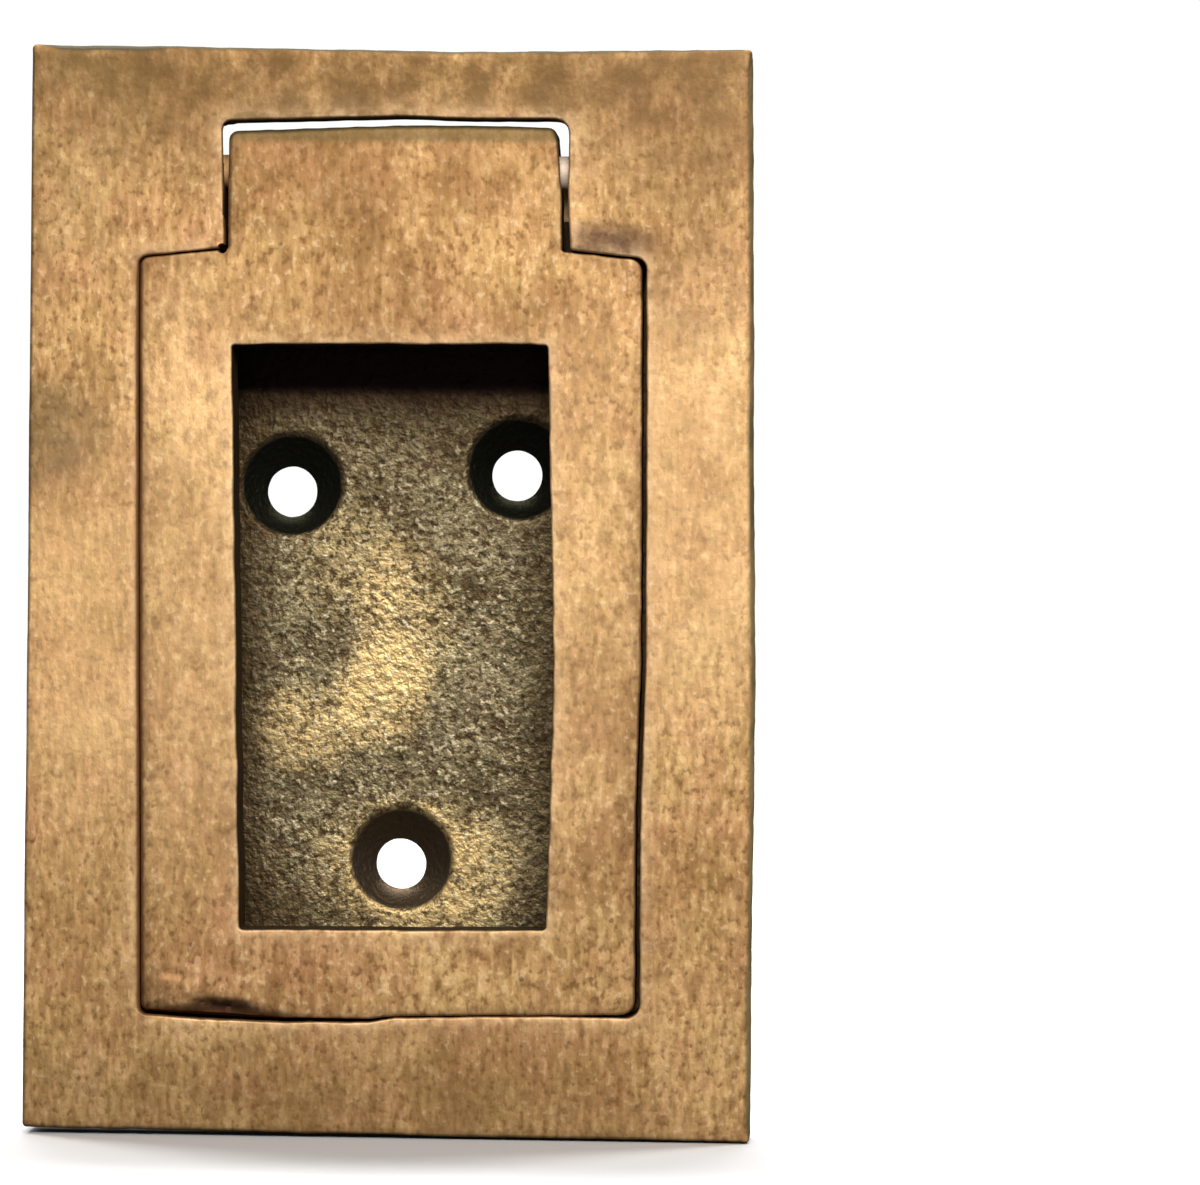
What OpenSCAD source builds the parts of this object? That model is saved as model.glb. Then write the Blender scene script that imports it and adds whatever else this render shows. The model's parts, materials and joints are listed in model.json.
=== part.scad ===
// Flush pull handle for a door, hatch or chest.
// A cast brass plate with a stepped finger pan, a frame-shaped bail handle that
// lies flush in it, and the pin that the handle swings on.
// X is across the plate, Z is up towards the hinge, and the face looks along -Y.
// The origin is the middle of the plate on the seat behind its flange.

/* [Plate] */
// Width of the face plate
plate_w = 63.5; // [60:0.5:90]
// Height of the face plate
plate_h = 95.25; // [90:0.25:130]
// Thickness of the face plate
plate_t = 5; // [4.6:0.1:7]

/* [Recess] */
// Left side of the recess that holds the handle, from the middle
recess_left = 22.2; // [22:0.1:24]
// Right side of the recess, from the middle
recess_right = 22.4; // [22.2:0.1:24]
// Bottom of the recess, below the middle
recess_bottom = 37.2; // [37:0.1:39]
// Height of the recess shoulders where they meet the slot
shoulder_inner = 30.6; // [30.5:0.1:32]
// Height of the recess shoulders at their outer ends
shoulder_outer = 29.6; // [29.5:0.1:31]
// Corner radius of the recess
recess_r = 0.9; // [0.4:0.1:2]
// Left side of the slot for the hinge tab, from the middle
slot_left = 14.7; // [14.5:0.1:16]
// Right side of the slot, from the middle
slot_right = 15.3; // [15:0.1:17]
// Top of the slot
slot_top = 41.6; // [41.5:0.1:43]
// Corner radius at the top of the slot
slot_r = 1.1; // [0.4:0.1:2]

/* [Stepped back] */
// Half width of the thick block behind the face plate
block_half_w = 25; // [24:0.1:28]
// Bottom of the block, below the middle
block_bottom = 40; // [39:0.1:43]
// Top of the block, above which the slot is open right through
block_top = 36.4; // [35:0.1:36.8]
// Thickness of the block, which carries the handle's ledges
block_t = 4; // [3.5:0.1:5]
// Radius of the groove that lets the end of the tab swing past the block
groove_r = 4.7; // [4.6:0.1:5]

/* [Finger pan] */
// Half width of the pan inside
pan_half_w = 17; // [16:0.1:18]
// Bottom of the pan inside, below the middle
pan_bottom = 34.5; // [33:0.1:35.5]
// Top of the pan inside
pan_top = 27; // [25:0.1:28]
// Depth of the pan floor behind the seat of the flange
floor_depth = 7; // [6:0.1:14]
// Thickness of the pan walls
pan_wall = 3.5; // [2.5:0.1:4]
// Thickness of the pan floor
floor_t = 3.5; // [3:0.1:5]
// Corner radius inside the pan
pan_r = 2; // [1:0.1:4]

/* [Screw holes] */
// Radius of the screw holes
screw_r = 2.375; // [1.8:0.005:2.6]
// Radius of the countersinks at the pan floor
sink_r = 4.75; // [3.8:0.05:5.2]
// Depth of the countersinks
sink_depth = 2.4; // [1.8:0.1:2.6]

/* [Bail handle] */
// Left side of the handle, from the middle
handle_left = 21.8; // [19.8:0.1:22]
// Right side of the handle, from the middle
handle_right = 22; // [20:0.1:22.2]
// Bottom of the handle, below the middle
handle_bottom = 36.8; // [34:0.1:37]
// Height of the handle shoulders beside the tab
handle_inner = 30; // [28.6:0.1:30]
// Height of the handle shoulders at their outer ends
handle_outer = 29; // [27.6:0.1:29]
// Gap between the handle's back and the ledges
rest_gap = 0.2; // [0.15:0.05:0.4]
// Left side of the window, from the middle
window_left = 13.6; // [12:0.1:15]
// Right side of the window, from the middle
window_right = 14.2; // [12:0.1:15]
// Bottom of the window, below the middle
window_bottom = 29.5; // [27:0.1:31]
// Top of the window
window_top = 21.7; // [18:0.1:23]
// Corner radius of the window
window_r = 0.8; // [0.4:0.1:2]
// Left side of the hinge tab, from the middle
tab_left = 14.3; // [12:0.1:14.5]
// Right side of the hinge tab, from the middle
tab_right = 14.8; // [13:0.1:15]
// How much the tab's right side comes in towards its top
tab_taper = 0.6; // [0:0.1:1]
// Top of the hinge tab
tab_top = 40.45; // [39.6:0.05:40.6]
// Rounding of the tab's upper edges, front and back
tab_r = 0.7; // [0.4:0.1:1.5]

/* [Hinge pin] */
// Diameter of the hinge pin
pin_d = 3; // [2.5:0.1:3.2]
// Height of the hinge pin above the middle
pin_z = 36.9; // [36.7:0.05:37.1]
// Blind end of the hole for the pin, left of the middle
pin_end = 20.5; // [19:0.5:24]
// Running clearance around the pin in the tab
pin_clearance = 0.06; // [0.02:0.01:0.1]

/* [Hidden] */
$fn = 64;
// Screw hole centres as drilled by hand: the left one sits a little low
hole_left = [-10.2, 9];
hole_right = [10.2, 10.6];
hole_bottom = [0, -24.6];
// The handle's thickness, and the pin's axis in the middle of it
handle_t = plate_t - rest_gap;
pin_y = -plate_t / 2;
floor_back = floor_depth + floor_t;
over = 1;

face_brass = [0.66, 0.50, 0.29];
cast_brass = [0.48, 0.37, 0.21];
pin_brass = [0.58, 0.43, 0.25];

// Stands a flat outline up in the XZ plane, running from y0 back to y1.
module stand(y0, y1) {
    translate([0, y1, 0])
    rotate([90, 0, 0])
    linear_extrude(y1 - y0)
    children();
}

// A round bar across the plate on the pin's axis, from x0 to x1.
module pin_bar(x0, x1, r) {
    translate([x0, pin_y, pin_z])
    rotate([0, 90, 0])
    cylinder(h = x1 - x0, r = r);
}

// A rectangle with round corners, from its left, right, bottom and top.
module round_rect(x0, x1, z0, z1, r) {
    translate([x0 + r, z0])
    square([x1 - x0 - 2 * r, z1 - z0]);
    translate([x0, z0 + r])
    square([x1 - x0, z1 - z0 - 2 * r]);
    for (x = [x0 + r, x1 - r], z = [z0 + r, z1 - r])
        translate([x, z])
        circle(r);
}

// A wide body with sloped shoulders, as far up as the foot of its narrow end.
module shouldered(left, right, bottom, inner, outer, neck_left, neck_right, r) {
    round_rect(-left, right, -bottom, outer - 1, r);
    polygon([
        [-left, 0], [right, 0], [right, outer],
        [neck_right, inner], [-neck_left, inner], [-left, outer]
    ]);
}

module recess_outline() {
    shouldered(recess_left, recess_right, recess_bottom, shoulder_inner, shoulder_outer,
        slot_left, slot_right, recess_r);
    round_rect(-slot_left, slot_right, shoulder_inner - 4, slot_top, slot_r);
}

module handle_outline() {
    shouldered(handle_left, handle_right, handle_bottom, handle_inner, handle_outer,
        tab_left, tab_right, recess_r);
    polygon([
        [-tab_left, handle_inner - 4], [tab_right, handle_inner - 4],
        [tab_right, handle_inner + 4], [tab_right - tab_taper, tab_top + over],
        [-tab_left, tab_top + over]
    ]);
}

// The casting before anything is cut from it: flange, block and pan, stepped back.
module plate_blank() {
    stand(-plate_t, 0)
    translate([-plate_w / 2, -plate_h / 2])
    square([plate_w, plate_h]);
    stand(-1, block_t)
    translate([-block_half_w, -block_bottom])
    square([2 * block_half_w, block_bottom + block_top]);
    stand(block_t - 1, floor_back)
    round_rect(-pan_half_w - pan_wall, pan_half_w + pan_wall,
        -pan_bottom - pan_wall, pan_top + pan_wall, pan_r + 1);
}

// What one screw hole takes out of the pan floor.
module screw_cut(at) {
    translate([at[0], floor_back + over, at[1]])
    rotate([90, 0, 0])
    cylinder(h = floor_t + 2 * over, r = screw_r);
    translate([at[0], floor_depth + sink_depth, at[1]])
    rotate([90, 0, 0])
    cylinder(h = sink_depth, r1 = screw_r, r2 = sink_r);
}

module plate() {
    color(cast_brass)
    difference() {
        plate_blank();
        stand(-plate_t - over, 0)
        recess_outline();
        stand(-over, floor_depth)
        round_rect(-pan_half_w, pan_half_w, -pan_bottom, pan_top, pan_r);
        pin_bar(-slot_left, slot_right, groove_r);
        pin_bar(-pin_end, plate_w / 2 + over, pin_d / 2);
        screw_cut(hole_left);
        screw_cut(hole_right);
        screw_cut(hole_bottom);
    }
}

// Side view of the handle: a flat bar with its upper edges rounded.
module handle_side() {
    translate([-plate_t, -handle_bottom - over])
    square([handle_t, handle_bottom + over + tab_top - tab_r]);
    translate([-plate_t + tab_r, 0])
    square([handle_t - 2 * tab_r, tab_top]);
    translate([-plate_t + tab_r, tab_top - tab_r])
    circle(tab_r);
    translate([-rest_gap - tab_r, tab_top - tab_r])
    circle(tab_r);
}

module bail_handle() {
    color(face_brass)
    difference() {
        intersection() {
            stand(-plate_t, -rest_gap)
            handle_outline();
            translate([-handle_left - over, 0, 0])
            rotate([90, 0, 90])
            linear_extrude(handle_left + handle_right + 2 * over)
            handle_side();
        }
        stand(-plate_t - over, over)
        round_rect(-window_left, window_right, -window_bottom, window_top, window_r);
        pin_bar(-tab_left - over, tab_right + over, pin_d / 2 + pin_clearance);
    }
}

module hinge_pin() {
    color(pin_brass)
    pin_bar(-pin_end, plate_w / 2, pin_d / 2);
}

plate();
bail_handle();
hinge_pin();
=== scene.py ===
"""The looks of a hand-finished cast brass flush pull: its plate, bail handle and hinge pin.

X runs across the plate, Z up towards the hinge, and the face looks along -Y.
Lengths are in millimetres until a mesh is made, which turns them into metres.
"""
import itertools
import json
import math

import bpy
import numpy as np
from mathutils import Euler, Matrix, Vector, kdtree
from mathutils.geometry import delaunay_2d_cdt


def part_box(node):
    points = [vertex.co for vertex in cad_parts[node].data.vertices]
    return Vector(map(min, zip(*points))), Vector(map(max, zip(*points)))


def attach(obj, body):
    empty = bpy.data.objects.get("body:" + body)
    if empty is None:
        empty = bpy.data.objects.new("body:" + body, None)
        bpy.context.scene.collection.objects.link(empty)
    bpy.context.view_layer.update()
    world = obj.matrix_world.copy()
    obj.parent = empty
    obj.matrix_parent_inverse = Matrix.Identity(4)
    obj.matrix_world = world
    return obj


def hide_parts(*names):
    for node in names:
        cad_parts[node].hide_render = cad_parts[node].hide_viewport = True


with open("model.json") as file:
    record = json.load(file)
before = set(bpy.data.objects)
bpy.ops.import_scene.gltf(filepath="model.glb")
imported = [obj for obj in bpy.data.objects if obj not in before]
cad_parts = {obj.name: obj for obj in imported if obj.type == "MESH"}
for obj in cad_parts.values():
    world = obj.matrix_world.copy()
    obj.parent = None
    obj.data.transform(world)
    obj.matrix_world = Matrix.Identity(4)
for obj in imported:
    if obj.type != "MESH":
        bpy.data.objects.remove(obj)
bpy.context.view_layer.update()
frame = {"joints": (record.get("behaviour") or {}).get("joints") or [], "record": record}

MM = 0.001

# ---------------------------------------------------------------- sizes from the frame

PLATE_LOW, PLATE_HIGH = (np.array(corner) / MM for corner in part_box("plate"))
HANDLE_LOW, HANDLE_HIGH = (np.array(corner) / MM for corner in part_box("bail_handle"))
PIN_LOW, PIN_HIGH = (np.array(corner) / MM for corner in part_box("hinge_pin"))
MOUNTS = {mount["name"]: mount for mount in frame["record"]["mounts"]}
SCREW_HOLES = [np.array(MOUNTS["screw_hole_" + side]["pos_m"]) / MM for side in ("left", "right", "bottom")]
SCREW_R = MOUNTS["screw_hole_left"]["dims"]["r_mm"]
PIN_AXIS = np.array(frame["joints"][0]["pos_m"]) / MM

FACE = PLATE_LOW[1]
PAN_BACK = PLATE_HIGH[1]
HANDLE_BACK = HANDLE_HIGH[1]
PIN_R = (PIN_HIGH[2] - PIN_LOW[2]) / 2

# ---------------------------------------------------------------- sizes of the casting

FLANGE_BACK = 0.0
BLOCK_BACK = 4.0
BLOCK_HALF_W = 25.0
BLOCK_BOTTOM = -40.0
BLOCK_TOP = 36.4
PAN_HALF_W = 17.0
PAN_BOTTOM = -34.5
PAN_TOP = 27.0
PAN_WALL = 3.5
PAN_FLOOR = 7.0
LEDGE = -0.14
# The skin of the casting stands in from the drilled size a little.
HOLE_R = SCREW_R - 0.08
SINK_R = 4.75
SINK_DEPTH = 2.4
# The drill that made the countersinks wandered up and to the right of the holes.
SINK_DRIFT = np.array([0.3, 0.6])
GROOVE_R = 4.7
SLOT_TOP = 41.6
SLOT_FLARE = 0.9
SLOT_LEFT = -14.7
SLOT_RIGHT = 15.3
TAB_LEFT = -14.3
TAB_RIGHT = 14.8
TAB_TOP = HANDLE_HIGH[2]
WINDOW_LEFT = -13.6
WINDOW_RIGHT = 14.2
WINDOW_BOTTOM = -29.5
WINDOW_TOP = 21.7
# The shoulders slope down from the slot, here, to their outer ends.
SHOULDER = 30.0
SHOULDER_END = 29.2
RECESS_LEFT = -22.2
RECESS_RIGHT = 22.4
RECESS_BOTTOM = -37.2
# The middle of the gap between the handle and its recess.
LINE_LEFT = (HANDLE_LOW[0] + RECESS_LEFT) / 2
LINE_RIGHT = (HANDLE_HIGH[0] + RECESS_RIGHT) / 2
LINE_BOTTOM = (HANDLE_LOW[2] + RECESS_BOTTOM) / 2
# Half of the gap round the handle, which sits over to the left.
GAP_LEFT = 0.07
GAP_RIGHT = 0.21
GAP_BELOW = 0.16
GAP_SHOULDER = 0.08
BORE_CLEARANCE = 0.06
# Half the length of the bore's cutter, which is longer than the tab is wide.
BORE_REACH = 30.0
# The pit beside the tab's left foot, and the casting flaw at the handle's lower left, as x and z.
PIT = (SLOT_LEFT - 0.18, SHOULDER - 0.02)
PIT_R = 0.42
FLAW_X, FLAW_Z = -14.6, -36.3
# How far the rubbing along an edge reaches on to the face, in millimetres.
WEAR_REACH = 0.7
# Which way the rounded end of a wall turns, against its outline.
INWARD = 1
OUTWARD = -1
# The wander of a filed edge, and its nicks. The handle was fitted to its recess, so they wander together.
WANDER = 0.03
NICK = 0.03
PARTING_SEED = 21


# ---------------------------------------------------------------- smooth random numbers


def lattice(cell, seed):
    """A repeatable random number from -1 to 1 for each whole-number point."""
    x, y, z = cell[..., 0], cell[..., 1], cell[..., 2]
    h = (x * 374761393 + y * 668265263 + z * 362437 + seed * 974634777) & 0xFFFFFFFF
    h = ((h ^ (h >> 13)) * 1274126177) & 0xFFFFFFFF
    h = ((h ^ (h >> 15)) * 461845907) & 0xFFFFFFFF
    return (h ^ (h >> 16)) / 0x7FFFFFFF - 1


def noise(points, size, seed=0):
    """Smooth noise from about -1 to 1 at each point, with lumps of that size."""
    spread = points / np.asarray(size, float) + 500
    cell = np.floor(spread).astype(np.int64)
    part = spread - cell
    part = part * part * (3 - 2 * part)
    total = np.zeros(len(points))
    for corner in itertools.product((0, 1), repeat=3):
        near = np.where(np.array(corner) == 1, part, 1 - part)
        total += near.prod(axis=1) * lattice(cell + np.array(corner), seed)
    return total


def smoothstep(low, high, value):
    """0 at low and beyond, 1 at high and beyond, and a smooth rise between them."""
    t = np.clip((value - low) / (high - low), 0, 1)
    return t * t * (3 - 2 * t)


def blob(points, centre, reach, tilt=0.0):
    """A soft spot in the XZ plane: 1 at its centre, falling away over reach (along, across)."""
    dx, dz = points[:, 0] - centre[0], points[:, 2] - centre[1]
    c, s = math.cos(math.radians(tilt)), math.sin(math.radians(tilt))
    along, across = dx * c + dz * s, dz * c - dx * s
    return np.exp(-((along / reach[0]) ** 2) - (across / reach[1]) ** 2)


# ---------------------------------------------------------------- outlines in the XZ plane


def rounded(corners, spacing):
    """Points and outward normals round a closed outline, anticlockwise as seen from the front.

    Each corner is (x, z, radius).
    """
    spots = np.array([corner[:2] for corner in corners], float)
    ahead = np.roll(spots, -1, axis=0) - spots
    ahead /= np.linalg.norm(ahead, axis=1)[:, None]
    arcs = []
    for spot, before, after, corner in zip(spots, np.roll(ahead, 1, axis=0), ahead, corners):
        turn = math.atan2(before[0] * after[1] - before[1] * after[0], before @ after)
        side = math.copysign(1.0, turn)
        radius = corner[2]
        reach = radius * math.tan(abs(turn) / 2)
        first = side * np.array([before[1], -before[0]])
        centre = spot - before * reach - first * radius
        steps = max(4, round(radius * abs(turn) / spacing))
        angles = np.linspace(0, turn, steps + 1)
        out = np.stack([
            first[0] * np.cos(angles) - first[1] * np.sin(angles),
            first[0] * np.sin(angles) + first[1] * np.cos(angles),
        ], axis=1)
        arcs.append((centre + out * radius, out * side))
    points, normals = [], []
    for (arc, out), (following, _) in zip(arcs, arcs[1:] + arcs[:1]):
        points.append(arc)
        normals.append(out)
        gap = following[0] - arc[-1]
        steps = int(np.linalg.norm(gap) / spacing)
        if steps > 1:
            share = np.arange(1, steps)[:, None] / steps
            points.append(arc[-1] + gap * share)
            normals.append(np.repeat(out[-1:], steps - 1, axis=0))
    return np.concatenate(points), np.concatenate(normals)


def circle(centre, radius, count):
    """Points and outward normals round a circle."""
    angles = np.linspace(0, 2 * math.pi, count, endpoint=False)
    out = np.stack([np.cos(angles), np.sin(angles)], axis=1)
    return np.asarray(centre) + out * radius, out


def deep(flat, y=0.0):
    """The 3D points of flat XZ points at depth y."""
    return np.stack([flat[:, 0], np.broadcast_to(y, len(flat)), flat[:, 1]], axis=1)


def filed(outline, amount, seed, size=7.0, nicks=0):
    """An outline as a hand file leaves it: it wanders by up to that amount, and has small nicks."""
    points, normals = outline
    wander = amount * noise(deep(points), size, seed)
    rough_edge = smoothstep(-0.98, -0.8, normals[:, 0])
    wander += NICK * rough_edge * noise(deep(points), 1.1, seed + 1 + nicks)
    return points + normals * wander[:, None], normals


def plate_outline():
    """The face plate's edge, filed a little out of square: narrower at the top, dipping in mid-top."""
    left, bottom, right, top = PLATE_LOW[0], PLATE_LOW[2], PLATE_HIGH[0], PLATE_HIGH[2]
    corners = [
        (left - 0.1, bottom + 0.45, 0.4),
        (right + 0.2, bottom - 0.02, 0.4),
        (right + 0.25, -8.0, 90.0),
        (right - 0.45, top - 0.05, 0.4),
        (5.0, top - 0.35, 90.0),
        (-20.0, top + 0.1, 40.0),
        (left, top + 0.15, 0.4),
    ]
    return filed(rounded(corners, 0.4), 0.05, seed=11)


def parting_corners(side):
    """The corners of the recess (side 1) or of the handle in it (side -1), but for the slot and tab."""
    left, right, below, above = (side * gap for gap in (GAP_LEFT, GAP_RIGHT, GAP_BELOW, GAP_SHOULDER))
    lower = [
        (LINE_LEFT + 0.5 - left, LINE_BOTTOM + 0.05 - below, 0.6),
        (-15.0, LINE_BOTTOM - 0.35 - below, 25.0),
        (-9.6, LINE_BOTTOM - 0.5 - below, 30.0),
        (-1.4, LINE_BOTTOM - 0.38 - 0.9 * below, 2.0),
        (0.9, LINE_BOTTOM - 0.05 - 0.45 * below, 2.0),
        (14.0, LINE_BOTTOM + 0.2 - 0.4 * below, 50.0),
        (LINE_RIGHT - 0.15 + right, LINE_BOTTOM + 0.25 - 0.9 * below, 1.2),
        (LINE_RIGHT - 0.2 + right, -17.5, 40.0),
        (LINE_RIGHT + 0.1 + right, -6.0, 40.0),
        (LINE_RIGHT - 0.1 + right, SHOULDER_END + 0.05 + above, 1.1),
    ]
    upper = [(LINE_LEFT - 0.2 - left, SHOULDER_END + above, 0.8), (LINE_LEFT - 0.5 * left, 2.0, 90.0)]
    return lower, upper


def slot_top():
    """The top of the slot from left to right. The file left it a little uneven."""
    return [
        (SLOT_LEFT - 0.3, SLOT_TOP - 0.42, 0.8),
        (0.5, SLOT_TOP + 0.02, 12.0),
        (7.0, SLOT_TOP - 0.22, 12.0),
        (SLOT_RIGHT + 0.1, SLOT_TOP - 0.12, 1.3),
    ]


def recess_outline():
    """The recess with its slot, as filed out of the plate's face."""
    lower, upper = parting_corners(1)
    slot = [
        (SLOT_RIGHT + 0.3, SHOULDER - 0.05 + GAP_SHOULDER, 0.35),
        (SLOT_RIGHT + 0.05, SHOULDER + 4.5, 9.0),
        *reversed(slot_top()),
        (SLOT_LEFT + 0.04, SHOULDER + GAP_SHOULDER, 0.4),
    ]
    return filed(rounded(lower + slot + upper, 0.3), WANDER, PARTING_SEED)


def handle_outline():
    """The handle with its tab, filed to fit the recess."""
    lower, upper = parting_corners(-1)
    tab = [
        (TAB_RIGHT + 0.05, SHOULDER - 0.05 - GAP_SHOULDER, 0.3),
        (TAB_RIGHT - 0.05, SHOULDER + 5.0, 12.0),
        (TAB_RIGHT - 0.5, TAB_TOP + 0.3, 0.8),
        (1.0, TAB_TOP + 0.45, 30.0),
        (TAB_LEFT - 0.1, TAB_TOP - 0.15, 0.7),
        (TAB_LEFT - 0.08, SHOULDER - GAP_SHOULDER, 0.3),
    ]
    return filed(rounded(lower + tab + upper, 0.3), WANDER, PARTING_SEED, nicks=10)


def window_outline():
    """The handle's window, which leans to the left and bows a little on the right."""
    corners = [
        (WINDOW_LEFT + 0.75, WINDOW_BOTTOM - 0.1, 0.3),
        (WINDOW_RIGHT - 0.15, WINDOW_BOTTOM + 0.15, 0.4),
        (WINDOW_RIGHT + 0.3, -7.0, 90.0),
        (WINDOW_RIGHT - 0.45, WINDOW_TOP + 0.05, 0.35),
        (WINDOW_LEFT - 0.4, WINDOW_TOP - 0.1, 0.3),
    ]
    return filed(rounded(corners, 0.25), 0.06, seed=41, size=2.6)


def box_outline(left, right, bottom, top, radius, spacing, amount, seed):
    """A rectangle with rounded corners, wandering by up to that amount."""
    corners = [(left, bottom, radius), (right, bottom, radius), (right, top, radius), (left, top, radius)]
    return filed(rounded(corners, spacing), amount, seed)


# ---------------------------------------------------------------- meshes from outlines


def wall(front, back, front_r, back_r, front_side, back_side, step, lean=0.0):
    """The path of a wall from one depth to another, as (outward shift, depth) pairs.

    It is rounded at both ends by front_r and back_r, and each end turns INWARD or OUTWARD.
    """
    arc = np.linspace(0, math.pi / 2, 5)
    start, end = front + front_r, back - back_r
    path = [(front_side * front_r * (math.sin(a) - 1), start - front_r * math.cos(a)) for a in arc]
    count = max(1, round(float(np.mean(end - start)) / step))
    for share in np.arange(1, count) / count:
        path.append((lean * share, start * (1 - share) + end * share))
    path += [(lean + back_side * back_r * (math.cos(a) - 1), end + back_r * math.sin(a)) for a in arc]
    return path


class Shell:
    """A closed skin made of rings of points, the walls between them and the flats that fill them."""

    def __init__(self):
        """An empty skin."""
        self.points = []
        self.faces = []
        self.count = 0

    def add(self, points):
        """Adds points and gives their numbers."""
        self.points.append(points)
        self.count += len(points)
        return np.arange(self.count - len(points), self.count)

    def rings(self, outline, path):
        """Rings along a wall's path, joined into the wall."""
        points, normals = outline
        made = []
        for out, y in path:
            shift = normals * np.broadcast_to(out, len(points))[:, None]
            made.append(self.add(deep(points + shift, y)))
        for a, b in zip(made, made[1:]):
            self.join(a, b)
        return made

    def join(self, a, b):
        """Joins two rings of as many points with a band of faces."""
        quads = np.stack([a, np.roll(a, -1), np.roll(b, -1), b], axis=1)
        self.faces += quads.tolist()

    def fill(self, outer, holes, spacing, seed):
        """Fills the flat between an outer ring and its holes with near-even triangles."""
        points = np.concatenate(self.points)
        loops = [points[ring][:, [0, 2]] for ring in [outer, *holes]]
        depth = points[outer, 1].mean()
        inside = scatter(loops, spacing, seed)
        ring_index = np.concatenate([outer, *holes])
        inside_index = self.add(deep(inside, depth))
        index = np.concatenate([ring_index, inside_index])
        flat = np.concatenate([*loops, inside])
        edges, start = [], 0
        for loop in loops:
            edges += [(start + k, start + (k + 1) % len(loop)) for k in range(len(loop))]
            start += len(loop)
        result = delaunay_2d_cdt([Vector(p) for p in flat], edges, [], 0, 1e-7)
        triangles = np.array(result[2])
        back = np.array([origins[0] for origins in result[3]])
        triangles = back[triangles]
        middle = flat[triangles].mean(axis=1)
        keep = within(middle, loops[0])
        for hole in loops[1:]:
            keep &= ~within(middle, hole)
        self.faces += index[triangles[keep]].tolist()


def within(points, loop):
    """Which points lie inside a closed loop."""
    found = np.zeros(len(points), bool)
    x, z = points[:, 0], points[:, 1]
    for (x0, z0), (x1, z1) in zip(loop, np.roll(loop, -1, axis=0)):
        crosses = (z0 > z) != (z1 > z)
        if z0 != z1:
            found ^= crosses & (x < (x1 - x0) * (z - z0) / (z1 - z0) + x0)
    return found


def scatter(loops, spacing, seed):
    """Points over the flat between loops, on a shaken hexagonal grid, clear of the loops themselves."""
    rng = np.random.default_rng(seed)
    low, high = loops[0].min(axis=0), loops[0].max(axis=0)
    xs = np.arange(low[0], high[0], spacing)
    zs = np.arange(low[1], high[1], spacing * 0.866)
    grid = np.stack(np.meshgrid(xs, zs), axis=-1)
    grid[1::2, :, 0] += spacing / 2
    grid = grid.reshape(-1, 2) + rng.uniform(-0.15, 0.15, (grid.size // 2, 2)) * spacing
    keep = within(grid, loops[0])
    for hole in loops[1:]:
        keep &= ~within(grid, hole)
    grid = grid[keep]
    return grid[distances(grid, np.concatenate(loops)) > 0.6 * spacing]


def distances(points, others):
    """How far each flat point is from the nearest of the others."""
    tree = kdtree.KDTree(len(others))
    for k, (x, z) in enumerate(others):
        tree.insert((x, z, 0), k)
    tree.balance()
    return np.array([tree.find((x, z, 0))[2] for x, z in points])


def mesh_object(name, points, faces):
    """An object made from points in millimetres."""
    mesh = bpy.data.meshes.new(name)
    mesh.from_pydata((points * MM).tolist(), [], faces)
    made = bpy.data.objects.new(name, mesh)
    bpy.context.scene.collection.objects.link(made)
    return made


def points_of(mesh):
    """A mesh's points, in millimetres."""
    flat = np.empty(len(mesh.vertices) * 3)
    mesh.vertices.foreach_get("co", flat)
    return flat.reshape(-1, 3) / MM


def normals_of(mesh):
    """The normal at each of a mesh's points."""
    flat = np.empty(len(mesh.vertices) * 3, np.float32)
    mesh.vertex_normals.foreach_get("vector", flat)
    return flat.reshape(-1, 3).astype(float)


def solid(name, shell):
    """A shell as an object, with its faces all turned outwards."""
    made = mesh_object(name, np.concatenate(shell.points), shell.faces)
    bpy.context.view_layer.objects.active = made
    made.select_set(True)
    bpy.ops.object.mode_set(mode="EDIT")
    bpy.ops.mesh.select_all(action="SELECT")
    bpy.ops.mesh.normals_make_consistent(inside=False)
    bpy.ops.object.mode_set(mode="OBJECT")
    made.select_set(False)
    return made


def push(made, amount):
    """Moves each point of a mesh along its normal by amount(points), in millimetres."""
    points, normals = points_of(made.data), normals_of(made.data)
    moved = points + normals * amount(points)[:, None]
    made.data.vertices.foreach_set("co", (moved * MM).ravel())
    made.data.update()


def cut(made, *cutters):
    """Cuts solids out of a piece, and removes them."""
    for cutter in cutters:
        step = made.modifiers.new("cut", "BOOLEAN")
        step.operation = "DIFFERENCE"
        step.solver = "MANIFOLD"
        step.object = cutter
    bpy.context.view_layer.update()
    evaluated = made.evaluated_get(bpy.context.evaluated_depsgraph_get())
    mesh = bpy.data.meshes.new_from_object(evaluated)
    made.modifiers.clear()
    made.data = mesh
    for cutter in cutters:
        bpy.data.objects.remove(cutter)


def rod(name, x0, x1, y, z, radius, count=64, path=None):
    """A round bar along X. Its path is (distance along, radius) pairs, or a plain cylinder."""
    path = path or [(x0, 0.0), (x0, radius), (x1, radius), (x1, 0.0)]
    angles = np.linspace(0, 2 * math.pi, count, endpoint=False)
    points, faces = [], []
    rings = [p for p in path if p[1] > 0]
    for x, r in rings:
        points += [(x, y + r * math.cos(a), z + r * math.sin(a)) for a in angles]
    for k in range(len(rings) - 1):
        for j in range(count):
            a, b = k * count + j, k * count + (j + 1) % count
            faces.append((a, b, b + count, a + count))
    faces.append(tuple(range(count - 1, -1, -1)))
    faces.append(tuple(range((len(rings) - 1) * count, len(rings) * count)))
    return mesh_object(name, np.array(points), faces)


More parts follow.
